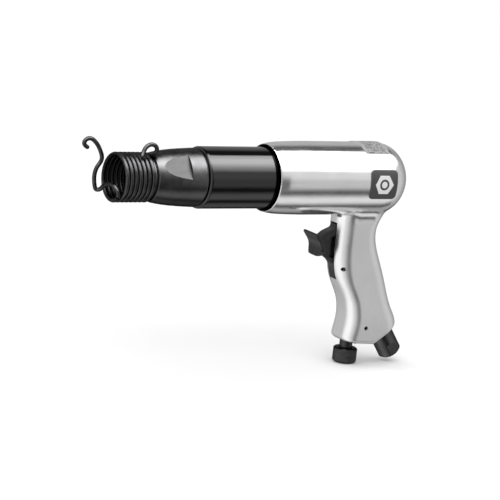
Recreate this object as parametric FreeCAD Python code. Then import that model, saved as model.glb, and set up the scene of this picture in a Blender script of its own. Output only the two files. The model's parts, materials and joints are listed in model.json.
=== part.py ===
"""Pneumatic air hammer.  Millimetres.

Frame: the origin is the centre of the barrel's front face, where the chisel shank goes in.
+X points out of the muzzle, +Y to the left side of the tool, +Z up; the grip hangs towards -Z.
Every function below makes one sub-part and returns a solid, and build() writes them all.
"""
import FreeCAD
import Part

import math
import os

V = FreeCAD.Vector
X_AXIS = V(1, 0, 0)
Y_AXIS = V(0, 1, 0)

# ---------------------------------------------------------------- driving dimensions
SHANK_R = 5.15             # bore for a 10.2 mm (0.401 in) chisel shank
SHANK_LENGTH = 33.0
CYLINDER_R = 9.55          # 19 mm cylinder bore
BARREL_REAR_X = -177.0
NECK_R = 15.5              # threaded neck that carries the retainer spring
SHOULDER_X = -11.5
NOSE_FRONT_R = 17.6
NOSE_REAR_R = 21.4
NOSE_REAR_X = -50.8
WAIST_R = 17.9
THREAD_R = 20.1
THREAD_FRONT_X = -128.0
THREAD_REAR_X = -150.0
FLAT_DISTANCE = 18.6       # wrench flats, from the axis
FLAT_REAR_X = -37.0
FLAT_ANGLE = 34.0          # flats' normal, degrees up from +Y

SLEEVE_R = 22.6
SLEEVE_INNER_R = 20.6
SLEEVE_REAR_X = -126.0

BODY_R = 27.25
MOUTH_X = -108.4
MOUTH_R = 24.1
MOUTH_STEP_X = -121.0
DOME_START_X = -200.0
DOME_END_X = -229.4
CHAMBER_R = 18.0
CHAMBER_REAR_X = -198.0

WIRE_R = 1.55              # retainer spring wire
COIL_R = 16.45             # to the wire's centre
COIL_PITCH = 3.5
COIL_PHASE_X = 13.4        # wire centre where the front turn crosses the left side
COIL_START = -2390.0       # degrees round +X from +Y
COIL_END = 296.0

SLOT_HALF = 4.3            # slot in the grip for the trigger
SLOT_TOP = -33.5
SLOT_BOTTOM = -76.9
SLOT_FLOOR_X = -189.0
TRIGGER_HALF = 4.0
PAD_HALF = 9.3
PIVOT = (-181.1, -67.6)
PIN_R = 1.6

THROTTLE_Z = -45.0
THROTTLE_CHAMBER_R = 5.6
THROTTLE_REAR_X = -206.0
STEM_R = 2.0

REGULATOR_X = -199.0
REGULATOR_TOP_Z = -98.0
REGULATOR_STEM_R = 6.0
KNOB_R = 9.15
KNOB_TOP_Z = -131.0
KNOB_BOTTOM_Z = -142.2
REGULATOR_PIN = (-205.6, -113.0)

INLET_TILT = 35.0          # degrees from straight down, towards the rear
INLET_FACE = V(-227.7, 0, -117.7)
INLET_R = 8.9
INLET_BORE_R = 5.9         # 1/4 inch pipe thread, mean bore
INLET_EXPOSED = 22.5
INLET_BORE_LENGTH = 13.0

JUNCTION_FILLET = 12.0     # grip into the round body, along the sides
JUNCTION_FRONT_FILLET = 2.5
HEEL_FILLET = 2.6          # round the bottom of the grip
HEEL_FRONT_FILLET = 3.8

RUN = 0.05                 # running clearance on the radius
SEAT = 0.02                # clearance of a pressed or screwed part


# ---------------------------------------------------------------- helpers
def polar(x, r, degrees):
    """Point at radius r and angle degrees round +X, measured from +Y towards +Z."""
    a = math.radians(degrees)
    return V(x, r * math.cos(a), r * math.sin(a))


def cyl(r, start, end):
    return Part.makeCylinder(r, (end - start).Length, start, end - start)


def cyl_x(r, x0, x1, y=0.0, z=0.0):
    return cyl(r, V(x0, y, z), V(x1, y, z))


def tube_x(outer, inner, x0, x1):
    return cyl_x(outer, x0, x1).cut(cyl_x(inner, x0, x1))


def box(x0, x1, y0, y1, z0, z1):
    return Part.makeBox(x1 - x0, y1 - y0, z1 - z0, V(x0, y0, z0))


def revolve_x(edges_or_points):
    """Solid of revolution about the X axis from (x, r) points."""
    points = [V(x, 0, r) for x, r in edges_or_points]
    wire = Part.makePolygon(points + points[:1])
    return Part.Face(wire).revolve(V(0, 0, 0), X_AXIS, 360)


def side_plate(points, half):
    """Extrudes a closed (x, z) outline from -half to +half along Y."""
    outline = [V(x, -half, z) for x, z in points]
    face = Part.Face(Part.makePolygon(outline + outline[:1]))
    return face.extrude(V(0, 2 * half, 0))


def smooth_plate(curves, half):
    """Extrudes a closed outline of smooth (x, z) curves from -half to +half along Y."""
    edges = []
    for points in curves:
        ends = [V(x, -half, z) for x, z in points]
        if len(ends) == 2:
            edges.append(Part.LineSegment(ends[0], ends[1]).toShape())
        else:
            curve = Part.BSplineCurve()
            curve.interpolate(ends)
            edges.append(curve.toShape())
    return Part.Face(Part.Wire(edges)).extrude(V(0, 2 * half, 0))


def swept_wire(points, radius):
    """Round wire along a smooth curve through the points."""
    curve = Part.BSplineCurve()
    curve.interpolate(points)
    path = Part.Wire([curve.toShape()])
    tangent = curve.tangent(curve.FirstParameter)[0]
    profile = Part.Wire([Part.Circle(points[0], tangent, radius).toShape()])
    return path.makePipeShell([profile], True, True)


def bolt_circle(count, radius, x0, x1, hole_r, start=0.0):
    holes = []
    for i in range(count):
        p = polar(x0, radius, start + 360.0 * i / count)
        holes.append(cyl_x(hole_r, x0, x1, p.y, p.z))
    return holes


# ---------------------------------------------------------------- barrel and sleeve
def nose_profile():
    """The barrel's outside, from the muzzle to the rear, as (x, r)."""
    ogive = [(-12.3, NOSE_FRONT_R), (-15.0, 18.35), (-18.5, 19.0), (-23.0, 19.65), (-29.0, 20.3),
             (-36.0, 20.8), (-44.0, 21.2)]
    return ([(0.0, NECK_R - 1.2), (-1.2, NECK_R), (SHOULDER_X, NECK_R), (SHOULDER_X, 17.2)] + ogive
            + [(-48.6, NOSE_REAR_R), (-49.7, NOSE_REAR_R - 0.3), (-50.5, NOSE_REAR_R - 1.0),
               (NOSE_REAR_X, NOSE_REAR_R - 1.8), (NOSE_REAR_X, WAIST_R),
               (THREAD_FRONT_X, WAIST_R), (THREAD_FRONT_X, THREAD_R), (THREAD_REAR_X, THREAD_R),
               (THREAD_REAR_X, CHAMBER_R - RUN), (BARREL_REAR_X, CHAMBER_R - RUN)])


def spring_groove():
    """Helical groove round the neck in which the retainer spring sits."""
    turns = 4.4
    helix = Part.makeHelix(COIL_PITCH, COIL_PITCH * turns, COIL_R)
    profile = Part.Wire([Part.Circle(V(COIL_R, 0, 0), Y_AXIS, WIRE_R + 0.12).toShape()])
    groove = Part.Wire(helix.Edges).makePipeShell([profile], True, True)
    groove.rotate(V(0, 0, 0), Y_AXIS, 90)            # helix axis to +X, start point to -Z
    groove.rotate(V(0, 0, 0), X_AXIS, 90)            # start point to +Y
    groove.translate(V(COIL_PHASE_X - 7 * COIL_PITCH, 0, 0))
    return groove


def make_barrel():
    outside = nose_profile()
    barrel = revolve_x(outside + [(BARREL_REAR_X, 0.0), (0.0, 0.0)])
    barrel = barrel.cut(revolve_x([(1.0, 0.0), (1.0, SHANK_R), (-SHANK_LENGTH, SHANK_R),
                                   (-SHANK_LENGTH - 4, CYLINDER_R), (BARREL_REAR_X - 1, CYLINDER_R),
                                   (BARREL_REAR_X - 1, 0.0)]))
    barrel = barrel.cut(spring_groove())
    for side in (1, -1):
        slab = Part.makeBox(60, 60, 10, V(FLAT_REAR_X, -30, FLAT_DISTANCE))
        slab.rotate(V(0, 0, 0), X_AXIS, FLAT_ANGLE - 90 * side)
        barrel = barrel.cut(slab)
    for angle in (60, 120, 180, 240, 300, 360):      # exhaust ports in the waist
        barrel = barrel.cut(cyl(2.0, polar(-116, 8, angle), polar(-116, 20, angle)))
    for angle in (70, 250):                          # return-air passages to the front of the cylinder
        p = polar(0, 13.8, angle)
        barrel = barrel.cut(cyl_x(1.4, BARREL_REAR_X - 1, -44, p.y, p.z))
        barrel = barrel.cut(cyl(1.4, polar(-45.5, 8, angle), polar(-45.5, 13.8, angle)))
    pin_hole = cyl_x(1.5 + SEAT, BARREL_REAR_X - 1, BARREL_REAR_X + 6.1, 13.7, 0)
    return barrel.cut(pin_hole)


def make_exhaust_sleeve():
    lip = 2.3
    centre_x, centre_r = NOSE_REAR_X - lip, SLEEVE_R - lip
    arc = [(centre_x + lip * math.sin(math.radians(a)), centre_r + lip * math.cos(math.radians(a)))
           for a in range(0, 91, 15)]
    profile = [(SLEEVE_REAR_X, SLEEVE_R)] + arc
    profile += [(NOSE_REAR_X, 19.4), (NOSE_REAR_X - 1.2, 19.4), (NOSE_REAR_X - 1.2, WAIST_R + RUN),
                (NOSE_REAR_X - 3.4, WAIST_R + RUN), (NOSE_REAR_X - 3.4, SLEEVE_INNER_R),
                (SLEEVE_REAR_X, SLEEVE_INNER_R)]
    sleeve = revolve_x(profile)
    for i in range(10):                              # exhaust holes hidden under the casting's lip
        angle = 18 + 36 * i
        sleeve = sleeve.cut(cyl(2.2, polar(-115.5, 19, angle), polar(-115.5, 24, angle)))
    return sleeve


def make_sleeve_seal():
    return tube_x(19.4 - SEAT, WAIST_R + SEAT, NOSE_REAR_X - 1.2, NOSE_REAR_X)


def make_piston():
    rear, front, r = -174.5, -124.5, CYLINDER_R - RUN
    return revolve_x([(rear, 0), (rear, r - 1.2), (rear + 1.2, r), (-160.0, r), (-159.4, r - 0.6),
                      (-157.6, r - 0.6), (-157.0, r), (front - 3.0, r), (front, r - 2.4), (front, 0)])


# ---------------------------------------------------------------- valve
def alignment_hole(x0, x1):
    return cyl_x(1.5 + SEAT, x0, x1, 13.7, 0)


def make_valve_block_front():
    r = CHAMBER_R - RUN
    block = tube_x(r, 6.5, -185.0, BARREL_REAR_X)
    block = block.cut(cyl_x(11.0, -185.0, -181.8))
    for angle in (70, 250):
        p = polar(0, 13.8, angle)
        block = block.cut(cyl_x(1.4, -186, BARREL_REAR_X + 1, p.y, p.z))
    return block.cut(alignment_hole(-186, BARREL_REAR_X + 1))


def make_valve_disc():
    rear, front, r = -184.9, -183.1, 10.6
    return revolve_x([(rear, 0), (rear, r - 0.3), (rear + 0.3, r),
                      (front - 0.3, r), (front, r - 0.3), (front, 0)])


def make_valve_block_rear():
    block = cyl_x(CHAMBER_R - RUN, -196.0, -185.0)
    block = block.cut(cyl_x(9.5, -196.0, -193.5))
    for hole in bolt_circle(6, 7.0, -197, -184, 1.6, 30):
        block = block.cut(hole)
    return block.cut(alignment_hole(-190, -184))


def make_valve_alignment_pin():
    return cyl_x(1.5, -190.0, BARREL_REAR_X + 6.0, 13.7, 0)


def make_valve_gasket():
    return tube_x(CHAMBER_R - RUN, 12.0, CHAMBER_REAR_X, -196.0)


# ---------------------------------------------------------------- retainer spring
def helix_point(degrees):
    return polar(COIL_PHASE_X + COIL_PITCH * degrees / 360.0, COIL_R, degrees)


LATCH_PIVOT = V(17.0, 11.3, -11.6)


def make_retainer_coil():
    eye = [V(0.7, 10.7, 17.3), V(-0.8, 9.5, 20.0), V(-3.0, 8.8, 23.4), V(-7.2, 8.6, 25.3),
           V(-11.3, 8.5, 23.4), V(-12.0, 8.0, 20.5), V(-10.4, 6.0, 18.3), V(-9.75, 2.0, 16.9)]
    coil = [helix_point(a) for a in range(int(COIL_START), int(COIL_END), 15)] + [helix_point(COIL_END)]
    lead_in = [V(16.75, 10.15, -12.72)]
    points = eye + coil + lead_in
    return swept_wire(points, WIRE_R).fuse(Part.makeSphere(WIRE_R, points[0]))


def make_retainer_latch():
    arch = [LATCH_PIVOT, V(17.6, 11.7, -8.4), V(18.7, 9.2, -5.6), V(19.5, 4.3, -4.7),
            V(20.0, -1.4, -5.7), V(20.5, -6.1, -8.1), V(21.6, -9.0, -10.9), V(23.1, -10.2, -11.1)]
    hook = [V(24.8, -10, -8.6), V(25.9, -10, -2.2), V(24.4, -10, 5.1), V(21.4, -10, 10.5),
            V(23.3, -10, 17.3), V(27.8, -10, 23.3), V(33.4, -10, 25.6), V(36.2, -10, 23.5),
            V(33.8, -10, 19.4)]
    return swept_wire(arch + hook, WIRE_R).fuse(Part.makeSphere(WIRE_R, hook[-1]))


# ---------------------------------------------------------------- housing
GRIP_SECTIONS = [          # z, front x, rear x, half width, half width of the flat front strap
    (-8.0, -174.4, -222.0, 12.6, 1.5),
    (-20.0, -174.6, -219.6, 12.8, 1.5),
    (-26.0, -174.8, -215.8, 12.9, 1.5),
    (-32.0, -174.8, -212.6, 13.0, 1.5),
    (-40.0, -174.8, -210.7, 13.0, 1.5),
    (-48.0, -174.8, -211.7, 13.0, 1.5),
    (-58.0, -175.2, -215.3, 13.1, 1.7),
    (-68.0, -176.9, -219.7, 13.3, 2.2),
    (-78.0, -180.6, -223.8, 13.5, 3.0),
    (-88.0, -186.5, -227.6, 13.8, 3.9),
    (-97.0, -190.4, -231.6, 14.1, 4.5),
    (-104.0, -191.7, -235.6, 14.4, 4.9),
    (-111.0, -191.5, -238.2, 14.6, 5.1),
    (-120.0, -190.0, -238.4, 14.6, 5.1),
    (-134.0, -186.0, -237.0, 14.6, 5.1),
]


def body_outside():
    """The casting's barrel-shaped part, as a solid."""
    front = [V(-109.3, 0, 25.1), V(-112.5, 0, 25.8), V(-120, 0, 26.6), V(-134, 0, 27.1), V(-150, 0, BODY_R)]
    rear = [V(DOME_START_X, 0, BODY_R), V(-206.0, 0, 27.0), V(-211.6, 0, 26.0), V(-217.4, 0, 23.2),
            V(-222.0, 0, 19.0), V(-225.6, 0, 13.8), V(-228.2, 0, 7.8), V(DOME_END_X, 0, 0)]
    lip = Part.Arc(V(MOUTH_X, 0, MOUTH_R + 0.3), V(-108.6, 0, 24.85), V(-109.3, 0, 25.1)).toShape()
    front_curve = Part.BSplineCurve()
    front_curve.interpolate(front, InitialTangent=V(-1, 0, 0.25), FinalTangent=V(-1, 0, 0))
    rear_curve = Part.BSplineCurve()
    rear_curve.interpolate(rear, InitialTangent=V(-1, 0, 0), FinalTangent=V(0, 0, -1))
    edges = [Part.LineSegment(V(MOUTH_X, 0, 0), V(MOUTH_X, 0, MOUTH_R + 0.3)).toShape(), lip,
             front_curve.toShape(), Part.LineSegment(front[-1], rear[0]).toShape(), rear_curve.toShape(),
             Part.LineSegment(rear[-1], V(MOUTH_X, 0, 0)).toShape()]
    return Part.Face(Part.Wire(edges)).revolve(V(0, 0, 0), X_AXIS, 360)


def grip_section(z, front, rear, half, strap):
    """One level outline of the grip: flat strap in front, round at the back."""
    front_r = half - strap
    back_r = half - 0.6
    bend = back_r * math.sqrt(0.5)

    def p(x, y):
        return V(x, y, z)

    def arc(a, b, c):
        return Part.Arc(a, b, c).toShape()

    def line(a, b):
        return Part.LineSegment(a, b).toShape()

    def front_point(degrees, side=1):
        turn = math.radians(degrees)
        return p(fc + front_r * math.cos(turn), side * (strap + front_r * math.sin(turn)))

    fc = front - front_r
    rc = rear + back_r
    bx, by = rc - bend, half - back_r + bend
    return Part.Wire([
        line(p(front, -strap), p(front, strap)),
        arc(front_point(0), front_point(22.5), front_point(45)),
        arc(front_point(45), front_point(67.5), front_point(90)),
        line(p(fc, half), p(rc, half)),
        arc(p(rc, half), p(bx, by), p(rear, half - back_r)),
        line(p(rear, half - back_r), p(rear, back_r - half)),
        arc(p(rear, back_r - half), p(bx, -by), p(rc, -half)),
        line(p(rc, -half), p(fc, -half)),
        arc(front_point(90, -1), front_point(67.5, -1), front_point(45, -1)),
        arc(front_point(45, -1), front_point(22.5, -1), front_point(0, -1))])


def bottom_z(x):
    """Height of the grip's sloping bottom face."""
    return -126.3 + 0.06 * (x + 219.0)


def inlet_direction():
    a = math.radians(INLET_TILT)
    return V(-math.sin(a), 0, -math.cos(a))


def grip_outside():
    grip = Part.makeLoft([grip_section(*s) for s in GRIP_SECTIONS], True, False)
    below = side_plate([(-150, bottom_z(-150)), (-260, bottom_z(-260)), (-260, -180), (-150, -180)], 40)
    grip = grip.cut(below)
    d = inlet_direction()
    slab = Part.makeBox(80, 80, 60, V(-40, -40, 0))
    slab.rotate(V(0, 0, 0), Y_AXIS, 180 + INLET_TILT)
    slab.translate(INLET_FACE)
    return variable_fillet(grip.cut(slab), on_heel, heel_radius)


def variable_fillet(solid, chosen, radius_at):
    """Fillets the chosen edges with a radius that varies along each of them."""
    document = FreeCAD.newDocument("blend")
    base = document.addObject("Part::Feature", "base")
    base.Shape = solid
    radii = []
    for number, edge in enumerate(solid.Edges, start=1):
        if chosen(edge):
            first, last = edge.ParameterRange
            radii.append((number, radius_at(edge.valueAt(first)), radius_at(edge.valueAt(last))))
    blend = document.addObject("Part::Fillet", "blend")
    blend.Base = base
    blend.Edges = radii
    document.recompute()
    return blend.Shape


def heel_radius(point):
    """Rounder towards the front of the grip."""
    share = min(max((point.x + 200.0) / 10.0, 0.0), 1.0)
    return HEEL_FILLET + (HEEL_FRONT_FILLET - HEEL_FILLET) * share


def on_heel(edge):
    """True for an edge round the grip's bottom face or the inlet's face."""
    first, last = edge.ParameterRange
    d = inlet_direction()
    for i in range(4):
        p = edge.valueAt(first + (last - first) * (i + 0.5) / 4)
        bottom = abs(p.z - bottom_z(p.x)) < 0.02
        inlet = abs((p - INLET_FACE).dot(d)) < 0.02
        if not bottom and not inlet:
            return False
    return True


def on_junction(edge):
    """True for an edge where the grip's side walls run into the round body."""
    first, last = edge.ParameterRange
    for i in range(5):
        p = edge.valueAt(first + (last - first) * (i + 0.5) / 5)
        if p.z > -16 or p.x > -160:
            return False
        expected = BODY_R if p.x > DOME_START_X else 0
        if expected and abs(math.hypot(p.y, p.z) - BODY_R) > 0.12:
            return False
        if not expected and p.z < -28:
            return False
    return True


def junction_radius(point):
    """Tight round the front corners, broad along the sides and at the back."""
    return JUNCTION_FRONT_FILLET if point.x > -181 else JUNCTION_FILLET


def make_housing():
    outside = body_outside().fuse(grip_outside())
    return hollow_housing(variable_fillet(outside, on_junction, junction_radius))


def hollow_housing(solid):
    """Cuts the bores, chambers, slot and air passages."""
    solid = solid.cut(revolve_x([(MOUTH_X + 2, 0), (MOUTH_X + 2, MOUTH_R + 0.6), (MOUTH_X, MOUTH_R + 0.6),
                                 (MOUTH_X - 0.6, MOUTH_R), (MOUTH_STEP_X, MOUTH_R),
                                 (MOUTH_STEP_X, SLEEVE_R + RUN), (SLEEVE_REAR_X, SLEEVE_R + RUN),
                                 (SLEEVE_REAR_X, THREAD_R + SEAT), (THREAD_REAR_X, THREAD_R + SEAT),
                                 (THREAD_REAR_X, CHAMBER_R), (CHAMBER_REAR_X, CHAMBER_R),
                                 (CHAMBER_REAR_X, 14.0), (-209.0, 14.0), (-213.0, 9.0), (-213.0, 0)]))
    slot = box(SLOT_FLOOR_X, -160, -SLOT_HALF, SLOT_HALF, SLOT_BOTTOM, SLOT_TOP)
    solid = solid.cut(slot)
    solid = solid.cut(cyl_x(THROTTLE_CHAMBER_R, THROTTLE_REAR_X, SLOT_FLOOR_X + 1, 0, THROTTLE_Z))
    solid = solid.cut(cyl(3.0, V(-201, 0, -10), V(-193.6, 0, -41)))                 # up to the valve
    pivot = V(PIVOT[0], 0, PIVOT[1])
    solid = solid.cut(cyl(PIN_R + SEAT, pivot + V(0, -30, 0), pivot + V(0, 30, 0)))
    reg = V(REGULATOR_X, 0, 0)
    solid = solid.cut(cyl(REGULATOR_STEM_R + RUN, reg + V(0, 0, -140), reg + V(0, 0, REGULATOR_TOP_Z + 0.4)))
    solid = solid.cut(cyl(3.2, V(-202.5, 0, -48), V(-199, 0, -99)))                 # up from the regulator
    lower = V(REGULATOR_PIN[0], 0, REGULATOR_PIN[1])
    solid = solid.cut(cyl(PIN_R + SEAT, lower + V(0, -30, 0), lower + V(0, 30, 0)))
    solid = solid.cut(cyl(1.3 + SEAT, V(-207.2, 0, -140), V(-207.2, 0, -119)))      # drilled passage
    d = inlet_direction()
    solid = solid.cut(cyl(8.0 + SEAT, INLET_FACE + d * 5, INLET_FACE - d * 11))     # inlet thread
    solid = solid.cut(cyl(4.2, INLET_FACE, V(-205, 0, -102)))                       # across to the regulator
    return solid


# ---------------------------------------------------------------- trigger and throttle
def trigger_pad():
    """The finger pad across the front of the web, hollowed in front and rounded at its edges."""
    curves = [
        [(-154.6, -42.6), (-156.8, -45.4), (-159.2, -48.8), (-160.4, -52.6), (-160.0, -55.6),
         (-159.0, -57.6)],
        [(-159.0, -57.6), (-159.0, -58.3), (-159.8, -58.8)],
        [(-159.8, -58.8), (-163.4, -58.8)],
        [(-163.4, -58.8), (-163.9, -54.0), (-162.6, -48.4), (-159.8, -44.2), (-156.6, -41.2)],
        [(-156.6, -41.2), (-155.5, -40.8), (-154.6, -41.4), (-154.6, -42.6)],
    ]
    outline = box(-170, -150, -PAD_HALF, PAD_HALF, -58.9, -38.0)
    low = [e for e in outline.Edges if abs(e.BoundBox.ZMax + 58.9) < 0.01 and e.BoundBox.XLength > 5]
    outline = outline.makeFillet(6.5, low)
    return smooth_plate(curves, PAD_HALF).common(outline)


def make_trigger():
    web_curves = [
        [(-175.0, -34.6), (-173.7, -37.6)],
        [(-173.7, -37.6), (-170.8, -38.9), (-167.4, -40.4), (-164.2, -42.6), (-161.6, -45.4)],
        [(-161.6, -45.4), (-162.0, -57.6)],
        [(-162.0, -57.6), (-167.0, -59.0), (-172.6, -62.2), (-176.2, -66.4), (-178.0, -71.0),
         (-179.0, -76.2)],
        [(-179.0, -76.2), (-183.4, -76.2)],
        [(-183.4, -76.2), (-186.6, -69.0), (-186.0, -58.0), (-183.4, -45.0), (-181.8, -35.2)],
        [(-181.8, -35.2), (-175.0, -34.6)],
    ]
    trigger = smooth_plate(web_curves, TRIGGER_HALF).fuse(trigger_pad())
    pocket_curves = [
        [(-180.5, -43.4), (-175.0, -43.6), (-170.4, -45.6), (-167.8, -49.4), (-167.3, -53.6),
         (-169.0, -57.2), (-173.0, -60.0), (-178.4, -62.4)],
        [(-178.4, -62.4), (-180.5, -43.4)],
    ]
    for side in (1, -1):                             # hollow cheeks
        pocket = smooth_plate(pocket_curves, 1.2)
        pocket.translate(V(0, side * (TRIGGER_HALF - 1.1), 0))
        trigger = trigger.cut(pocket)
    pivot = V(PIVOT[0], 0, PIVOT[1])
    return trigger.cut(cyl(PIN_R + RUN, pivot + V(0, -10, 0), pivot + V(0, 10, 0)))


def roll_pin(point, half):
    """A slotted spring pin across the grip."""
    centre = V(point[0], 0, point[1])
    pin = cyl(PIN_R, centre + V(0, -half, 0), centre + V(0, half, 0))
    pin = pin.cut(cyl(PIN_R - 0.6, centre + V(0, -half, 0), centre + V(0, half, 0)))
    return pin.cut(box(centre.x - 3, centre.x, -half, half, centre.z - 0.25, centre.z + 0.25))


def make_trigger_pin():
    return roll_pin(PIVOT, 9.2)


def make_regulator_pin():
    return roll_pin(REGULATOR_PIN, 13.9)


def make_throttle_bushing():
    bush = cyl_x(THROTTLE_CHAMBER_R - SEAT, -196.0, SLOT_FLOOR_X, 0, THROTTLE_Z)
    bush = bush.cut(cyl_x(3.3, -197, -191, 0, THROTTLE_Z))
    bush = bush.cut(cyl_x(STEM_R + RUN, -192, -188, 0, THROTTLE_Z))
    return bush.cut(cyl(1.6, V(-193.6, 0, THROTTLE_Z), V(-193.6, 0, THROTTLE_Z + 7)))


def make_throttle_stem():
    z = THROTTLE_Z
    tip = Part.makeSphere(STEM_R, V(-185.75, 0, z)).common(box(-185.75, -180, -5, 5, z - 5, z + 5))
    stem = cyl_x(STEM_R, -200.2, -185.75, 0, z).fuse(tip)
    head = cyl_x(4.9, -200.2, -197.6, 0, z)
    guide = cyl_x(1.5, -202.0, -200.2, 0, z)
    return stem.fuse(head).fuse(guide)


def make_throttle_seal():
    return Part.makeTorus(3.9, 0.7, V(-196.85, 0, THROTTLE_Z), X_AXIS)


def make_throttle_spring():
    turns, length, r, wire = 5.0, 4.6, 3.2, 0.3
    helix = Part.makeHelix(length / turns, length, r)
    profile = Part.Wire([Part.Circle(V(r, 0, 0), Y_AXIS, wire).toShape()])
    spring = Part.Wire(helix.Edges).makePipeShell([profile], True, True)
    spring.rotate(V(0, 0, 0), Y_AXIS, -90)
    spring.translate(V(-200.75, 0, THROTTLE_Z))
    return spring


# ---------------------------------------------------------------- regulator
def make_air_regulator():
    z_groove = REGULATOR_PIN[1]
    profile = [(0, REGULATOR_TOP_Z), (REGULATOR_STEM_R, REGULATOR_TOP_Z),
               (REGULATOR_STEM_R, z_groove + 2.1), (4.6, z_groove + 2.1), (4.6, z_groove - 2.1),
               (REGULATOR_STEM_R, z_groove - 2.1), (REGULATOR_STEM_R, -117.4), (4.7, -117.4),
               (4.7, -120.0), (REGULATOR_STEM_R, -120.0), (REGULATOR_STEM_R, -123.4), (4.95, -123.9),
               (4.95, KNOB_TOP_Z), (KNOB_R - 1.6, KNOB_TOP_Z), (KNOB_R, KNOB_TOP_Z - 1.4),
               (KNOB_R, KNOB_BOTTOM_Z + 1.6), (KNOB_R - 1.8, KNOB_BOTTOM_Z), (0, KNOB_BOTTOM_Z)]
    points = [V(r, 0, z) for r, z in profile]
    solid = Part.Face(Part.makePolygon(points + points[:1])).revolve(V(0, 0, 0), V(0, 0, 1), 360)
    solid = solid.cut(cyl(3.4, V(0, 0, -108.6), V(0, 0, -90)))                      # hollow metering end
    solid = solid.cut(cyl(3.2, V(0, 0, -104), V(-12, 0, -104)))                     # side port to the inlet
    solid.translate(V(REGULATOR_X, 0, 0))
    return solid


def make_regulator_o_ring():
    ring = Part.makeTorus(5.35, 0.64, V(REGULATOR_X, 0, -118.7), V(0, 0, 1))
    return ring


def make_passage_plug():
    plug = cyl(1.3, V(-207.2, 0, -127.6), V(-207.2, 0, -119.0))
    return plug.fuse(Part.makeSphere(1.3, V(-207.2, 0, -127.6)))


# ---------------------------------------------------------------- air inlet
def make_inlet_bushing():
    d = inlet_direction()
    end = INLET_EXPOSED
    profile = [(INLET_BORE_R, end), (INLET_R - 1.6, end), (INLET_R, end - 1.6), (INLET_R, 0.9),
               (INLET_R - 0.9, 0.0), (8.0, 0.0), (8.0, -10.8), (4.3, -10.8), (4.3, end - INLET_BORE_LENGTH),
               (INLET_BORE_R, end - INLET_BORE_LENGTH)]
    points = [V(r, 0, -s) for r, s in profile]
    solid = Part.Face(Part.makePolygon(points + points[:1])).revolve(V(0, 0, 0), V(0, 0, 1), 360)
    for side in (1, -1):                             # wrench flats over the outer two thirds
        flat = Part.makeBox(30, 4, 11.0, V(-15, -2, -(end + 0.5)))
        flat.translate(V(0, side * (8.1 + 2), 0))
        solid = solid.cut(flat)
    solid.rotate(V(0, 0, 0), Y_AXIS, INLET_TILT)
    solid.translate(INLET_FACE)
    return solid


def make_inlet_screen():
    screen = Part.makeCylinder(4.3 - SEAT, 1.0, V(0, 0, 9.6))
    for i in range(-2, 3):
        for j in range(-2, 3):
            if math.hypot(i, j) < 2.4:
                screen = screen.cut(Part.makeCylinder(0.55, 3, V(1.55 * i, 1.55 * j, 9)))
    screen.rotate(V(0, 0, 0), Y_AXIS, INLET_TILT)
    screen.translate(INLET_FACE)
    return screen


# ---------------------------------------------------------------- plates
def curved_plate(x0, x1, angle0, angle1, inner, outer, corner):
    """Thin plate wrapped round the body, with rounded corners."""
    shell = tube_x(outer, inner, x0, x1)
    middle = (angle0 + angle1) / 2.0
    half = outer * math.sin(math.radians((angle1 - angle0) / 2.0))
    prism = Part.makeBox(x1 - x0, 2 * half, 40, V(x0, -half, 5))
    uprights = [e for e in prism.Edges if abs(e.Vertexes[0].Z - e.Vertexes[1].Z) > 30]
    prism = prism.makeFillet(corner, uprights)
    prism.rotate(V(0, 0, 0), X_AXIS, middle - 90)
    return shell.common(prism)


def make_badge():
    return curved_plate(-208.5, -185.4, -22.0, 24.2, 26.6, 28.05, 3.0)


def make_rating_plate():
    return curved_plate(-206.0, -185.4, 53.0, 127.0, 26.8, 27.75, 1.2)


SUBPARTS = {
    "housing": make_housing,
    "barrel": make_barrel,
    "exhaust_sleeve": make_exhaust_sleeve,
    "sleeve_seal": make_sleeve_seal,
    "piston": make_piston,
    "valve_block_front": make_valve_block_front,
    "valve_disc": make_valve_disc,
    "valve_block_rear": make_valve_block_rear,
    "valve_alignment_pin": make_valve_alignment_pin,
    "valve_gasket": make_valve_gasket,
    "retainer_coil": make_retainer_coil,
    "retainer_latch": make_retainer_latch,
    "trigger": make_trigger,
    "trigger_pin": make_trigger_pin,
    "throttle_bushing": make_throttle_bushing,
    "throttle_stem": make_throttle_stem,
    "throttle_seal": make_throttle_seal,
    "throttle_spring": make_throttle_spring,
    "air_regulator": make_air_regulator,
    "regulator_o_ring": make_regulator_o_ring,
    "regulator_pin": make_regulator_pin,
    "passage_plug": make_passage_plug,
    "inlet_bushing": make_inlet_bushing,
    "inlet_screen": make_inlet_screen,
    "badge": make_badge,
    "rating_plate": make_rating_plate,
}


def build():
    os.makedirs("parts", exist_ok=True)
    for node, make in SUBPARTS.items():
        shape = make()
        if shape.ShapeType == "Compound" and len(shape.Solids) == 1:
            shape = shape.Solids[0]
        bounds = shape.BoundBox
        print(node, "solids", len(shape.Solids), "valid", shape.isValid(), "volume %.0f" % shape.Volume,
              "x %.1f..%.1f z %.1f..%.1f" % (bounds.XMin, bounds.XMax, bounds.ZMin, bounds.ZMax))
        shape.exportStep("parts/" + node + ".step")


build()
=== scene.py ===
"""Looks of the air hammer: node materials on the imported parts, three pieces made here, and a studio."""
import json
import math

import bpy
from mathutils import Matrix, Vector


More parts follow.
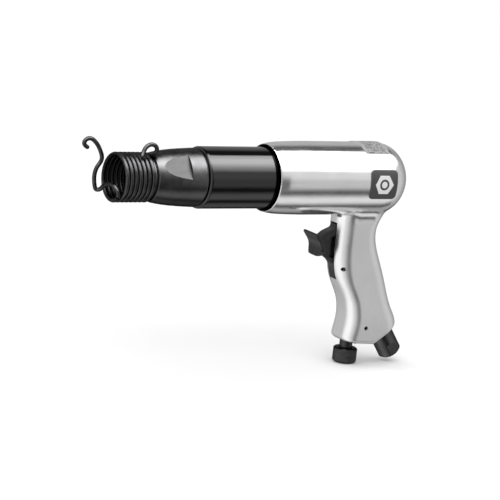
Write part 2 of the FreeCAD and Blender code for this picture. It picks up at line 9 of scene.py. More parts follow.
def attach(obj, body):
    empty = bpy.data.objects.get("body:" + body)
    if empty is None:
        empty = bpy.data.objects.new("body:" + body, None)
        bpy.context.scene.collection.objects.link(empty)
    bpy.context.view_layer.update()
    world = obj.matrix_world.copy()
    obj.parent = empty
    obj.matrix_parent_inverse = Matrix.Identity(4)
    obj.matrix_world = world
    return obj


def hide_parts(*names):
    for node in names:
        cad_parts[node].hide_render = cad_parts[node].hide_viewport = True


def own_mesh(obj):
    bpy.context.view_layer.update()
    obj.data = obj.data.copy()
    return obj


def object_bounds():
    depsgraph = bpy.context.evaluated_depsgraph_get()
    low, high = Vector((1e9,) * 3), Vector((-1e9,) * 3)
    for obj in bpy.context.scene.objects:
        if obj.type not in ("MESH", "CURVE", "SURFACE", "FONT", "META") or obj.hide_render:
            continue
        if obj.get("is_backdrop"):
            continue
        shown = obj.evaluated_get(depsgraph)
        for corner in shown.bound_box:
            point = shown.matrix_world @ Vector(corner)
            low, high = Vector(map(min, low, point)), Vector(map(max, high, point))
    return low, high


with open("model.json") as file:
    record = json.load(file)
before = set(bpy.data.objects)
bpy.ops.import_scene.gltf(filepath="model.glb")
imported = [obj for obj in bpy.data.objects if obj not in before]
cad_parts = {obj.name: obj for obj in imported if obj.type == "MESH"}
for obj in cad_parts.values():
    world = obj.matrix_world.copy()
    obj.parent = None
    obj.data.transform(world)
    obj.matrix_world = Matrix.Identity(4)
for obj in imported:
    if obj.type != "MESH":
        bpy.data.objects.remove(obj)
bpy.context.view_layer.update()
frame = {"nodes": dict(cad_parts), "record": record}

# Where things are on the tool, in metres, in the part's own frame
FLAT_DISTANCE = 0.0186           # wrench flats on the barrel's nose, from the axis
FLAT_ANGLE = math.radians(34)    # their facing, above level
FLAT_REAR_X = -0.037             # where they end towards the casting
MOUTH_X = -0.1084                # front edge of the casting
MOUTH_R = 0.0241
COIL_R = 0.01645                 # retainer spring, to the middle of the wire
COIL_FRONT_X = 0.0163            # the arch and the hook are in front of this
BADGE_CENTRE_X = -0.19695
BADGE_CENTRE_ANGLE = math.radians(1.1)
BADGE_R = 0.02805                # from the barrel's axis to the badge's face
NUT_HALF_WIDTH = 0.00695         # the sign on the badge
NUT_HOLE_R = 0.0041
BOLT_R = 0.0025
SIGN_EDGE = 0.0001               # half of the soft edge of the sign
PLATE_CENTRE_X = -0.1957
PLATE_R = 0.02775                # from the barrel's axis to the rating plate's face
ROW_HEIGHT = 0.0021              # rows of dashes on the plate
DASH_WIDTH = 0.0007
ROW_HALF_LENGTH = 0.0083
KNOB_X = -0.199                  # regulator
KNOB_TOP_Z = -0.1310
KNOB_BOTTOM_Z = -0.1422
KNOB_R = 0.00915
KNURL_DEPTH = 0.0005
KNURL_TEETH = 30
KNURL_ROWS = 46
KNOB_STEPS = 240                 # points round the knob
TRIGGER_GRID = 0.00025
TRIGGER_ROUNDING = 24            # smoothing passes, which round an edge by roughly 1 mm on that grid


# ---------------------------------------------------------------- short ways to make node trees
def add(tree, kind, inputs=None, **settings):
    """Adds one node. inputs maps a socket to a value or to another node's output."""
    made = tree.nodes.new(kind)
    for key, value in settings.items():
        setattr(made, key, value)
    for key, value in (inputs or {}).items():
        if isinstance(value, bpy.types.NodeSocket):
            tree.links.new(value, made.inputs[key])
        else:
            made.inputs[key].default_value = value
    return made


def calc(tree, operation, *values, clamp=False):
    made = add(tree, "ShaderNodeMath", dict(enumerate(values)), operation=operation, use_clamp=clamp)
    return made.outputs[0]


def ramp(tree, value, low, high, out_low=0.0, out_high=1.0):
    """value, rescaled from low..high to out_low..out_high with soft ends."""
    inputs = {"Value": value, "From Min": low, "From Max": high, "To Min": out_low, "To Max": out_high}
    return add(tree, "ShaderNodeMapRange", inputs, interpolation_type="SMOOTHSTEP").outputs["Result"]


def place(tree):
    """The point on the piece, in metres in the part's frame."""
    return add(tree, "ShaderNodeTexCoord").outputs["Object"]


def axes(tree, vector):
    made = add(tree, "ShaderNodeSeparateXYZ", {"Vector": vector})
    return made.outputs["X"], made.outputs["Y"], made.outputs["Z"]


def distance(tree, a, b):
    """How far a point is from an axis, from its two offsets across that axis."""
    return calc(tree, "SQRT", calc(tree, "ADD", calc(tree, "MULTIPLY", a, a), calc(tree, "MULTIPLY", b, b)))


def noise(tree, stretch, detail=3.0, roughness=0.5, source=None):
    """Noise with the given features per metre along X, Y and Z."""
    scaled = add(tree, "ShaderNodeMapping", {"Vector": source or place(tree), "Scale": stretch})
    inputs = {"Vector": scaled.outputs["Vector"], "Scale": 1.0, "Detail": detail, "Roughness": roughness}
    return add(tree, "ShaderNodeTexNoise", inputs).outputs["Fac"]


def blend(tree, factor, a, b):
    """Colour a where factor is 0 and b where it is 1."""
    made = add(tree, "ShaderNodeMix", {"Factor": factor}, data_type="RGBA")
    for socket, value in ((6, a), (7, b)):         # the colour sockets A and B
        target = made.inputs[socket]
        if isinstance(value, bpy.types.NodeSocket):
            tree.links.new(value, target)
        else:
            target.default_value = (*value, 1.0)
    return made.outputs[2]                         # the colour result


def bump(tree, height, depth, strength=1.0, under=None):
    """Relief from height, depth in metres, on top of the relief under it."""
    inputs = {"Height": height, "Distance": depth, "Strength": strength}
    if under is not None:
        inputs["Normal"] = under
    return add(tree, "ShaderNodeBump", inputs).outputs["Normal"]


def new_material(name, metallic, **settings):
    """A material and its Principled shader; settings are constants on the shader's own sockets."""
    material = bpy.data.materials.new(name)
    material.use_nodes = True
    tree = material.node_tree
    shader = tree.nodes["Principled BSDF"]
    shader.inputs["Metallic"].default_value = metallic
    for key, value in settings.items():
        shader.inputs[key.replace("_", " ")].default_value = value
    return material, tree, shader


def finish_material(tree, shader, colour, roughness, normal):
    tree.links.new(colour, shader.inputs["Base Color"])
    tree.links.new(roughness, shader.inputs["Roughness"])
    tree.links.new(normal, shader.inputs["Normal"])


# ---------------------------------------------------------------- materials
DULL_EDGE = (0.45, 0.45, 0.45, 1.0)      # tint at glancing angles, which keeps blackened steel's rims dark


def cast_aluminium():
    """Polished casting: soft waviness, polishing lines, pits on the grip, and painted shade within the
    mouth.
    """
    material, tree, shader = new_material("cast_aluminium", 0.96)
    point = place(tree)
    x, y, z = axes(tree, point)
    on_grip = ramp(tree, z, -0.026, -0.036)
    body_lines = noise(tree, (30, 900, 900), 3, source=point)
    grip_lines = noise(tree, (900, 900, 30), 3, source=point)
    lines = calc(tree, "ADD", calc(tree, "MULTIPLY", body_lines, calc(tree, "SUBTRACT", 1.0, on_grip)),
                 calc(tree, "MULTIPLY", grip_lines, on_grip))
    clouds = noise(tree, (70, 70, 70), 3, source=point)
    waves = noise(tree, (9, 55, 30), 1, source=point)
    colour = blend(tree, ramp(tree, clouds, 0.3, 0.7), (0.88, 0.88, 0.88), (0.92, 0.92, 0.92))
    colour = blend(tree, ramp(tree, lines, 0.35, 0.8, 0, 0.4), colour, (0.82, 0.82, 0.82))
    # painted shade: near-black colour on the casting's surface within the mouth, where light doesn't reach
    painted_mouth_shade = calc(tree, "MULTIPLY", ramp(tree, distance(tree, y, z), MOUTH_R + 5e-4, MOUTH_R + 2e-4),
                  ramp(tree, x, MOUTH_X - 0.03, MOUTH_X - 0.02))
    colour = blend(tree, painted_mouth_shade, colour, (0.02, 0.02, 0.02))
    roughness = calc(tree, "ADD", ramp(tree, clouds, 0.2, 0.8, 0.11, 0.16),
                     ramp(tree, lines, 0.2, 0.9, 0.0, 0.05))
    roughness = calc(tree, "ADD", roughness, calc(tree, "MULTIPLY", on_grip, 0.15))
    pits = calc(tree, "MULTIPLY", noise(tree, (420, 420, 420), 4, source=point), on_grip)
    surface = bump(tree, waves, 0.0005, 0.15)
    surface = bump(tree, pits, 0.00012, 0.25, surface)
    surface = bump(tree, lines, 0.00001, 0.2, surface)
    finish_material(tree, shader, colour, roughness, surface)
    return material


def dark_steel():
    """Turned and blackened steel, and on the barrel the wrench flats milled matte."""
    material, tree, shader = new_material("dark_steel", 1.0, Specular_Tint=DULL_EDGE)
    point = place(tree)
    x, y, z = axes(tree, point)
    across = calc(tree, "ADD", calc(tree, "MULTIPLY", y, math.cos(FLAT_ANGLE)),
                  calc(tree, "MULTIPLY", z, math.sin(FLAT_ANGLE)))
    off_flat = calc(tree, "ABSOLUTE", calc(tree, "SUBTRACT", calc(tree, "ABSOLUTE", across), FLAT_DISTANCE))
    flat = calc(tree, "MULTIPLY", ramp(tree, off_flat, 0.00006, 0.00002),
                ramp(tree, x, FLAT_REAR_X - 2e-4, FLAT_REAR_X))
    rings = noise(tree, (2600, 12, 12), 3, source=point)
    stains = noise(tree, (90, 160, 160), 4, source=point)
    grain = noise(tree, (1500, 1500, 1500), 3, source=point)
    dark = blend(tree, ramp(tree, stains, 0.3, 0.7), (0.088, 0.088, 0.090), (0.125, 0.125, 0.127))
    dark = blend(tree, ramp(tree, rings, 0.55, 0.8, 0, 0.35), dark, (0.14, 0.14, 0.14))
    milled = blend(tree, grain, (0.085, 0.085, 0.085), (0.125, 0.125, 0.125))
    colour = blend(tree, flat, dark, milled)
    roughness = calc(tree, "ADD", ramp(tree, stains, 0.2, 0.8, 0.24, 0.33),
                     calc(tree, "MULTIPLY", flat, 0.25))
    surface = bump(tree, rings, 0.00002, 0.4)
    surface = bump(tree, grain, 0.00004, 0.25, surface)
    finish_material(tree, shader, colour, roughness, surface)
    return material


def black_gloss():
    """Polished black sleeve, faintly rippled and rubbed.

    A band in front of the casting is painted black; it stands for the dark reflection of the mouth.
    """
    material, tree, shader = new_material("black_gloss", 0.0, Specular_IOR_Level=0.7)
    point = place(tree)
    x = axes(tree, point)[0]
    ripple = noise(tree, (30, 110, 110), 2, source=point)
    rubs = noise(tree, (60, 1800, 1800), 4, source=point)
    smear = noise(tree, (120, 120, 120), 4, source=point)
    near_mouth = ramp(tree, x, MOUTH_X + 0.0036, MOUTH_X + 0.0028)
    colour = blend(tree, ramp(tree, rubs, 0.6, 0.8, 0, 0.6), (0.001, 0.001, 0.001), (0.006, 0.006, 0.006))
    colour = blend(tree, near_mouth, colour, (0.001, 0.001, 0.001))
    roughness = calc(tree, "ADD", ramp(tree, smear, 0.35, 0.75, 0.03, 0.06),
                     ramp(tree, rubs, 0.5, 0.9, 0.0, 0.05))
    tree.links.new(near_mouth, shader.inputs["Metallic"])
    surface = bump(tree, ripple, 0.0004, 0.25)
    surface = bump(tree, rubs, 0.00001, 0.3, surface)
    finish_material(tree, shader, colour, roughness, surface)
    return material


def spring_steel():
    """Black-oxide spring wire, rubbed lighter in places, with painted shade within the coil."""
    material, tree, shader = new_material("spring_steel", 1.0, Specular_Tint=DULL_EDGE)
    point = place(tree)
    patches = noise(tree, (260, 260, 260), 4, source=point)
    specks = noise(tree, (2500, 2500, 2500), 2, source=point)
    edge = add(tree, "ShaderNodeNewGeometry").outputs["Pointiness"]
    worn = calc(tree, "MULTIPLY", ramp(tree, edge, 0.5, 0.56), ramp(tree, patches, 0.35, 0.7), clamp=True)
    colour = blend(tree, ramp(tree, patches, 0.3, 0.75), (0.055, 0.055, 0.057), (0.085, 0.085, 0.087))
    colour = blend(tree, calc(tree, "MULTIPLY", worn, 0.5), colour, (0.15, 0.15, 0.15))
    x, y, z = axes(tree, point)
    # painted shade: the wire darkened where it faces the coil's axis, back from the arch and the hook
    painted_coil_shade = calc(tree, "MULTIPLY", ramp(tree, distance(tree, y, z), COIL_R + 2e-4, COIL_R - 4e-4),
                 ramp(tree, x, COIL_FRONT_X + 5e-4, COIL_FRONT_X))
    colour = blend(tree, calc(tree, "MULTIPLY", painted_coil_shade, 0.8), colour, (0.012, 0.012, 0.012))
    roughness = calc(tree, "ADD", ramp(tree, patches, 0.2, 0.8, 0.24, 0.36),
                     ramp(tree, specks, 0.4, 0.8, 0.0, 0.08))
    surface = bump(tree, specks, 0.00003, 0.35)
    surface = bump(tree, patches, 0.0002, 0.12, surface)
    finish_material(tree, shader, colour, roughness, surface)
    return material


def black_steel():
    """Black-oxide turned steel of the inlet, with handling marks."""
    material, tree, shader = new_material("black_steel", 1.0, Specular_Tint=DULL_EDGE)
    point = place(tree)
    patches = noise(tree, (220, 220, 220), 4, source=point)
    fine = noise(tree, (2200, 2200, 2200), 3, source=point)
    edge = add(tree, "ShaderNodeNewGeometry").outputs["Pointiness"]
    worn = ramp(tree, edge, 0.52, 0.60, 0.0, 0.55)
    colour = blend(tree, ramp(tree, patches, 0.3, 0.7), (0.055, 0.055, 0.057), (0.085, 0.085, 0.087))
    colour = blend(tree, worn, colour, (0.16, 0.16, 0.16))
    roughness = calc(tree, "ADD", ramp(tree, patches, 0.2, 0.8, 0.14, 0.22),
                     ramp(tree, fine, 0.4, 0.8, 0.0, 0.08))
    surface = bump(tree, fine, 0.00003, 0.4)
    finish_material(tree, shader, colour, roughness, surface)
    return material


def knurled_steel():
    """Black-oxide regulator, lighter on the crests of the knurl and dark in its grooves."""
    material, tree, shader = new_material("knurled_steel", 1.0, Specular_Tint=DULL_EDGE)
    point = place(tree)
    x, y = axes(tree, point)[:2]
    radius = distance(tree, calc(tree, "SUBTRACT", x, KNOB_X), y)
    patches = noise(tree, (220, 220, 220), 4, source=point)
    fine = noise(tree, (2200, 2200, 2200), 3, source=point)
    crest = ramp(tree, radius, KNOB_R - 0.3 * KNURL_DEPTH, KNOB_R)
    plain = ramp(tree, radius, KNOB_R - KNURL_DEPTH - 2e-4, KNOB_R - KNURL_DEPTH - 4e-4)
    crest = calc(tree, "MAXIMUM", crest, calc(tree, "MULTIPLY", plain, 0.3))
    colour = blend(tree, crest, (0.012, 0.012, 0.012), (0.16, 0.16, 0.16))
    colour = blend(tree, ramp(tree, patches, 0.4, 0.8, 0.0, 0.4), colour, (0.04, 0.04, 0.04))
    roughness = calc(tree, "ADD", ramp(tree, patches, 0.2, 0.8, 0.20, 0.30),
                     ramp(tree, fine, 0.4, 0.8, 0.0, 0.08))
    finish_material(tree, shader, colour, roughness, bump(tree, fine, 0.00003, 0.4))
    return material


def bright_steel():
    """Ground steel of the piston, the valve's disc and pin, and the throttle's stem and spring."""
    material, tree, shader = new_material("bright_steel", 1.0)
    point = place(tree)
    lines = noise(tree, (3200, 40, 40), 3, source=point)
    patches = noise(tree, (150, 150, 150), 3, source=point)
    colour = blend(tree, ramp(tree, patches, 0.3, 0.7), (0.56, 0.56, 0.57), (0.68, 0.68, 0.69))
    roughness = calc(tree, "ADD", ramp(tree, patches, 0.2, 0.8, 0.16, 0.24),
                     ramp(tree, lines, 0.3, 0.8, 0.0, 0.08))
    finish_material(tree, shader, colour, roughness, bump(tree, lines, 0.00001, 0.4))
    return material


def black_plastic():
    """Trigger: moulded black with a fine grain, polished by the finger."""
    material, tree, shader = new_material("black_plastic", 0.0, Specular_IOR_Level=0.5)
    point = place(tree)
    grain = noise(tree, (3000, 3000, 3000), 2, source=point)
    smear = noise(tree, (180, 180, 180), 4, source=point)
    colour = blend(tree, ramp(tree, smear, 0.3, 0.75), (0.004, 0.004, 0.004), (0.010, 0.010, 0.010))
    roughness = calc(tree, "ADD", ramp(tree, smear, 0.25, 0.75, 0.12, 0.22),
                     ramp(tree, grain, 0.4, 0.8, 0.0, 0.10))
    surface = bump(tree, grain, 0.00005, 0.35)
    finish_material(tree, shader, colour, roughness, surface)
    return material


def rubber():
    """Seals and O-rings: matte black with a greyish bloom."""
    material, tree, shader = new_material("rubber", 0.0, Specular_IOR_Level=0.35)
    point = place(tree)
    bloom = noise(tree, (400, 400, 400), 4, source=point)
    fine = noise(tree, (3500, 3500, 3500), 2, source=point)
    colour = blend(tree, ramp(tree, bloom, 0.4, 0.8), (0.010, 0.010, 0.010), (0.030, 0.030, 0.030))
    roughness = ramp(tree, bloom, 0.2, 0.8, 0.55, 0.75)
    finish_material(tree, shader, colour, roughness, bump(tree, fine, 0.00005, 0.4))
    return material


def brass():
    """Turned brass of the throttle bushing and the inlet strainer."""
    material, tree, shader = new_material("brass", 1.0)
    point = place(tree)
    rings = noise(tree, (2400, 2400, 60), 3, source=point)
    tarnish = noise(tree, (260, 260, 260), 4, source=point)
    colour = blend(tree, ramp(tree, tarnish, 0.35, 0.7), (0.66, 0.47, 0.20), (0.80, 0.62, 0.32))
    roughness = ramp(tree, tarnish, 0.2, 0.8, 0.22, 0.40)
    finish_material(tree, shader, colour, roughness, bump(tree, rings, 0.00002, 0.4))
    return material


def badge_plate():
    """Dark badge with a plain nut-and-bolt sign in light grey."""
    material, tree, shader = new_material("badge_plate", 0.2)
    point = place(tree)
    x, y, z = axes(tree, point)
    angle = calc(tree, "SUBTRACT", calc(tree, "ARCTAN2", z, y), BADGE_CENTRE_ANGLE)
    along = calc(tree, "ABSOLUTE", calc(tree, "SUBTRACT", x, BADGE_CENTRE_X))
    up = calc(tree, "ABSOLUTE", calc(tree, "MULTIPLY", angle, BADGE_R))
    slant = calc(tree, "ADD", calc(tree, "MULTIPLY", along, math.sin(math.radians(60))),
                 calc(tree, "MULTIPLY", up, math.cos(math.radians(60))))
    hexagon = calc(tree, "MAXIMUM", slant, up)
    radius = distance(tree, along, up)
    nut = calc(tree, "MULTIPLY", ramp(tree, hexagon, NUT_HALF_WIDTH + SIGN_EDGE, NUT_HALF_WIDTH - SIGN_EDGE),
               ramp(tree, radius, NUT_HOLE_R - SIGN_EDGE, NUT_HOLE_R + SIGN_EDGE))
    bolt = ramp(tree, radius, BOLT_R + SIGN_EDGE, BOLT_R - SIGN_EDGE)
    sign = calc(tree, "ADD", nut, bolt, clamp=True)
    grain = noise(tree, (1200, 1200, 1200), 3, source=point)
    dark = blend(tree, grain, (0.035, 0.035, 0.037), (0.065, 0.065, 0.067))
    light = blend(tree, grain, (0.60, 0.60, 0.60), (0.74, 0.74, 0.74))
    colour = blend(tree, sign, dark, light)
    roughness = ramp(tree, grain, 0.2, 0.8, 0.38, 0.52)
    surface = bump(tree, sign, 0.0001, 0.6)
    surface = bump(tree, grain, 0.00003, 0.3, surface)
    finish_material(tree, shader, colour, roughness, surface)
    return material


def etched_plate():
    """Rating plate: brushed grey with rows of dashes that say nothing."""
    material, tree, shader = new_material("etched_plate", 0.0, Specular_IOR_Level=0.15)
    point = place(tree)
    x, y, z = axes(tree, point)
    around = calc(tree, "MULTIPLY", calc(tree, "ARCTAN2", z, y), PLATE_R)
    row = calc(tree, "DIVIDE", around, ROW_HEIGHT)
    column = calc(tree, "DIVIDE", x, DASH_WIDTH)
    whole = {"X": calc(tree, "FLOOR", column), "Y": calc(tree, "FLOOR", row)}
    cell = add(tree, "ShaderNodeCombineXYZ", whole).outputs[0]
    pick = add(tree, "ShaderNodeTexWhiteNoise", {"Vector": cell}, noise_dimensions="2D").outputs["Value"]
    in_row = calc(tree, "ABSOLUTE", calc(tree, "SUBTRACT", calc(tree, "FRACT", row), 0.5))
    from_middle = calc(tree, "ABSOLUTE", calc(tree, "SUBTRACT", x, PLATE_CENTRE_X))
    dashes = calc(tree, "MULTIPLY", ramp(tree, in_row, 0.24, 0.18), ramp(tree, pick, 0.40, 0.44))
    dashes = calc(tree, "MULTIPLY", dashes, ramp(tree, from_middle, ROW_HALF_LENGTH, ROW_HALF_LENGTH - 3e-4))
    brushed = noise(tree, (60, 2400, 2400), 3, source=point)
    plain = blend(tree, brushed, (0.30, 0.30, 0.30), (0.42, 0.42, 0.42))
    colour = blend(tree, dashes, plain, (0.02, 0.02, 0.02))
    roughness = ramp(tree, brushed, 0.2, 0.8, 0.42, 0.55)
    finish_material(tree, shader, colour, roughness, bump(tree, brushed, 0.00002, 0.4))
    return material


MATERIALS = {
    "cast_aluminium": cast_aluminium,
    "dark_steel": dark_steel,
    "bright_steel": bright_steel,
    "spring_steel": spring_steel,
    "black_steel": black_steel,
    "black_gloss": black_gloss,
    "black_plastic": black_plastic,
    "rubber": rubber,
    "brass": brass,
    "badge_plate": badge_plate,
    "etched_plate": etched_plate,
}


def paint_nodes():
    """Gives every CAD node the material of its slot."""
    made = {slot: make() for slot, make in MATERIALS.items()}
    for subpart in frame["record"]["subparts"]:
        mesh = frame["nodes"][subpart["node"]].data
        mesh.materials.clear()
        mesh.materials.append(made[subpart["material_slot"]])
    return made


# ---------------------------------------------------------------- pieces made here
def knurled_knob(material):
    """Regulator screw with a diamond-knurled knob, standing for the plain CAD one."""
    # radius and height of each corner, from the top of the screw down
    stem = [(0.0, -0.098), (0.006, -0.098), (0.006, -0.1109), (0.0046, -0.1109), (0.0046, -0.1151),
            (0.006, -0.1151), (0.006, -0.1174), (0.0047, -0.1174), (0.0047, -0.12), (0.006, -0.12),
            (0.006, -0.1234), (0.00495, -0.1239), (0.00495, KNOB_TOP_Z)]
    top = [(0.0080, KNOB_TOP_Z), (0.0084, KNOB_TOP_Z - 0.0001), (0.0090, KNOB_TOP_Z - 0.0008)]
    band_top = KNOB_TOP_Z - 0.0009
    band_bottom = KNOB_BOTTOM_Z + 0.0011
    band = [(KNOB_R, band_top + (band_bottom - band_top) * i / KNURL_ROWS) for i in range(KNURL_ROWS + 1)]
    base = [(0.0090, KNOB_BOTTOM_Z + 0.0010), (0.0081, KNOB_BOTTOM_Z + 0.0001), (0.0078, KNOB_BOTTOM_Z),
            (0.0, KNOB_BOTTOM_Z)]
    profile = stem + top + band + base
    band_start = len(stem) + len(top)
    pitch = 2 * math.pi * KNOB_R / KNURL_TEETH
    points = []
    for k, (r, z) in enumerate(profile):
        for i in range(KNOB_STEPS):
            turn = 2 * math.pi * i / KNOB_STEPS
            depth = 0.0
            if band_start <= k < band_start + len(band):
                one_way = math.cos(KNURL_TEETH * turn + 2 * math.pi * z / pitch)
                other_way = math.cos(KNURL_TEETH * turn - 2 * math.pi * z / pitch)
                depth = KNURL_DEPTH * (0.5 - max(one_way, other_way) * 0.5)
            points.append((KNOB_X + (r - depth) * math.cos(turn), (r - depth) * math.sin(turn), z))
    faces = []
    for k in range(len(profile) - 1):
        upper = k * KNOB_STEPS
        lower = upper + KNOB_STEPS
        for i in range(KNOB_STEPS):
            j = (i + 1) % KNOB_STEPS
            faces.append((upper + i, upper + j, lower + j, lower + i))
    mesh = bpy.data.meshes.new("regulator_knob")
    mesh.from_pydata(points, [], faces)
    mesh.validate()
    mesh.shade_smooth()
    mesh.set_sharp_from_angle(angle=math.radians(35))
    mesh.materials.append(material)
    knob = bpy.data.objects.new("regulator_knob", mesh)
    bpy.context.scene.collection.objects.link(knob)
    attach(knob, "air_regulator")
    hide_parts("air_regulator")


def moulded_trigger(material):
    """The trigger with its moulded edges rounded, standing for the sharp-edged CAD one."""
    trigger = bpy.data.objects.new("moulded_trigger", frame["nodes"]["trigger"].data.copy())
    bpy.context.scene.collection.objects.link(trigger)
    grid = trigger.modifiers.new("even_grid", "REMESH")
    grid.mode = "VOXEL"
    grid.voxel_size = TRIGGER_GRID
    rounding = trigger.modifiers.new("rounding", "SMOOTH")
    rounding.factor = 0.5
    rounding.iterations = TRIGGER_ROUNDING
    bpy.context.view_layer.update()
    shape = trigger.evaluated_get(bpy.context.evaluated_depsgraph_get())
    mesh = bpy.data.meshes.new_from_object(shape)
    trigger.modifiers.clear()
    trigger.data = mesh
    mesh.name = "moulded_trigger"
    mesh.shade_smooth()
    mesh.materials.clear()
    mesh.materials.append(material)
    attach(trigger, "trigger")
    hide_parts("trigger")


def throttle_coil(material):
    """The throttle's spring, a copy of the CAD one fixed to the housing, standing for it."""
    mesh = frame["nodes"]["throttle_spring"].data.copy()
    mesh.materials.clear()
    mesh.materials.append(material)
    coil = bpy.data.objects.new("throttle_coil", mesh)
    bpy.context.scene.collection.objects.link(coil)
    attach(coil, "housing")
    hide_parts("throttle_spring")
    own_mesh(coil)


# ---------------------------------------------------------------- studio
# What gloss reflects: bright and dark bands, as (from, to, brightness). They were set from the
# photograph's brightness measured round the barrel, the sleeve and the grip.
# Degrees round the barrel's line, from the left side upwards
LONG_STRIPS = [
    (-180, -170, 0.40),
    (-152, -136, 0.05),
    (-116, -103, 0.34),
    (-92, -86, 0.07),
    (-70, -56, 0.76),
    (-40, -32, 0.08),
    (-18, 0, 0.54),
    (12, 30, 0.72),
    (50, 50, 4.2),
    (66, 79, 7.4),
    (90, 95, 5.2),
    (104, 123, 0.06),
    (138, 180, 0.43),
]
# Degrees round the upright, from the left side towards the muzzle
UPRIGHT_STRIPS = [
    (-180, -112, 0.30),
    (-76, -42, 0.58),
    (-28, 2, 0.12),
    (32, 38, 0.66),
    (64, 104, 1.08),
    (140, 180, 0.48),
]
FADE_IN_FRONT = (-0.37, -0.30)   # x of the directions where the upright bands take over
FADE_IN_BEHIND = (-0.66, -0.78)
UPRIGHT_X = -0.3                 # middle of the part of the surroundings that holds the upright bands
UPRIGHT_Z = -0.18
PLAIN_WHITE = 1.08               # brightness of the surroundings for everything but gloss
FLOOR_GAP = 0.0005
FLOOR_HALF = 20.0


def strip_light(tree, sideways, upwards, strips):
    """Brightness by the direction's angle in the plane of the two given axes, blended between strips."""
    angle = calc(tree, "ARCTAN2", upwards, sideways)
    turn = calc(tree, "ADD", calc(tree, "DIVIDE", angle, 2 * math.pi), 0.5)
    made = add(tree, "ShaderNodeValToRGB", {"Fac": turn})
    elements = made.color_ramp.elements
    stops = [(degrees, value) for start, end, value in strips for degrees in (start, end)]
    while len(elements) < len(stops):
        elements.new(1.0)
    for element, (degrees, value) in zip(elements, stops):
        element.position = degrees / 360.0 + 0.5
        element.color = (value, value, value, 1.0)
    return made.outputs["Color"]


def studio_world():
    """White surroundings. Gloss sees bands instead, like softboxes and dark flags round the tool."""
    world = bpy.data.worlds.new("studio")
    bpy.context.scene.world = world
    world.use_nodes = True
    tree = world.node_tree
    tree.nodes.clear()
    direction = add(tree, "ShaderNodeTexCoord").outputs["Generated"]
    x, y, z = axes(tree, direction)
    along = strip_light(tree, y, z, LONG_STRIPS)
    upright = strip_light(tree, y, x, UPRIGHT_STRIPS)
    # In the photograph's view the barrel reflects directions whose x is near -0.5. They get the long
    # bands, and the other level directions, which the grip reflects, get the upright ones.
    off_x = calc(tree, "ABSOLUTE", calc(tree, "SUBTRACT", x, UPRIGHT_X))
    off_z = calc(tree, "ABSOLUTE", calc(tree, "SUBTRACT", z, UPRIGHT_Z))
    reach = ramp(tree, off_x, 0.15, 0.4, 0.1, 0.6)
    level = ramp(tree, calc(tree, "SUBTRACT", off_z, reach), 0.0, 0.5, 1.0, 0.0)
    sideways = calc(tree, "ADD", ramp(tree, x, *FADE_IN_FRONT), ramp(tree, x, *FADE_IN_BEHIND))
    seen = blend(tree, calc(tree, "MULTIPLY", sideways, level), along, upright)
    gloss = add(tree, "ShaderNodeBackground", {"Color": seen, "Strength": 1.0})
    plain = add(tree, "ShaderNodeBackground", {"Color": (1, 1, 1, 1), "Strength": PLAIN_WHITE})
    is_gloss = add(tree, "ShaderNodeLightPath").outputs["Is Glossy Ray"]
    both = add(tree, "ShaderNodeMixShader", {0: is_gloss, 1: plain.outputs[0], 2: gloss.outputs[0]})
    add(tree, "ShaderNodeOutputWorld", {"Surface": both.outputs[0]})


def soft_light(name, place_at, aim, size, power):
    """A rectangular lamp that gloss doesn't see."""
    light = bpy.data.lights.new(name, "AREA")
    light.shape = "RECTANGLE"
    light.size, light.size_y = size
    light.energy = power
    holder = bpy.data.objects.new(name, light)
    holder.location = place_at
    holder.rotation_euler = (Vector(aim) - Vector(place_at)).to_track_quat("-Z", "Y").to_euler()
    holder.visible_glossy = False
    bpy.context.scene.collection.objects.link(holder)


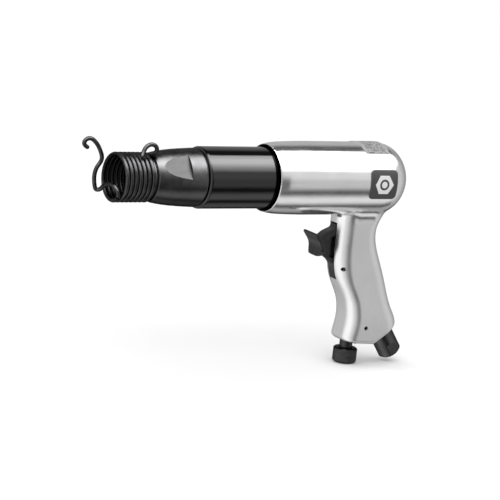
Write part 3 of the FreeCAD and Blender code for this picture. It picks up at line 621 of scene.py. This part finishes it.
def floor():
    """Pale matte floor just under the tool, which gloss doesn't see."""
    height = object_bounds()[0].z - FLOOR_GAP
    mesh = bpy.data.meshes.new("floor")
    corners = [(FLOOR_HALF * x, FLOOR_HALF * y, height) for x, y in ((-1, -1), (1, -1), (1, 1), (-1, 1))]
    mesh.from_pydata(corners, [], [(0, 1, 2, 3)])
    material, tree, shader = new_material("floor", 0.0, Specular_IOR_Level=0.0)
    speckle = noise(tree, (40, 40, 40), 3)
    colour = blend(tree, speckle, (0.93, 0.93, 0.93), (0.95, 0.95, 0.95))
    roughness = ramp(tree, speckle, 0, 1, 0.8, 0.9)
    finish_material(tree, shader, colour, roughness, bump(tree, speckle, 0.0001, 0.1))
    mesh.materials.append(material)
    plane = bpy.data.objects.new("floor", mesh)
    plane.visible_glossy = False
    bpy.context.scene.collection.objects.link(plane)
    plane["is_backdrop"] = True


# ---------------------------------------------------------------- camera, at the photograph's angle
CAMERA_TURN = math.radians(31.5)     # from square-on to the left side, towards the muzzle
CAMERA_TILT = math.radians(13.8)     # raised
CAMERA_ROLL = math.radians(0.8)
CAMERA_DISTANCE = 1.835
CAMERA_TARGET = Vector((-0.10391, 0.0, -0.05431))
CAMERA_LENS = 180.0                  # millimetres
CAMERA_SENSOR = 36.0


def camera():
    """The photograph's camera: from the left and the front, a little above, with a slight roll."""
    turn = CAMERA_TURN
    tilt = CAMERA_TILT
    roll = CAMERA_ROLL
    back = Vector((math.sin(turn), math.cos(turn) * math.cos(tilt), math.cos(turn) * math.sin(tilt)))
    right = Vector((-math.cos(turn), math.sin(turn) * math.cos(tilt), math.sin(turn) * math.sin(tilt)))
    up = Vector((0.0, -math.sin(tilt), math.cos(tilt)))
    rolled_right = right * math.cos(roll) - up * math.sin(roll)
    rolled_up = up * math.cos(roll) + right * math.sin(roll)
    lens = bpy.data.cameras.new("camera")
    lens.lens = CAMERA_LENS
    lens.sensor_width = CAMERA_SENSOR
    lens.clip_end = 100.0
    holder = bpy.data.objects.new("camera", lens)
    place_at = CAMERA_TARGET + back * CAMERA_DISTANCE
    holder.matrix_world = Matrix((
        (rolled_right.x, rolled_up.x, back.x, place_at.x),
        (rolled_right.y, rolled_up.y, back.y, place_at.y),
        (rolled_right.z, rolled_up.z, back.z, place_at.z),
        (0, 0, 0, 1)))
    bpy.context.scene.collection.objects.link(holder)
    bpy.context.scene.camera = holder


# ---------------------------------------------------------------- put together
materials = paint_nodes()
knurled_knob(knurled_steel())
moulded_trigger(materials["black_plastic"])
throttle_coil(materials["bright_steel"])
studio_world()
soft_light("key", place_at=(0.5, 0.7, 1.1), aim=(-0.12, 0, -0.05), size=(0.9, 0.6), power=3.0)
floor()
camera()
bpy.context.scene.view_settings.view_transform = "Standard"
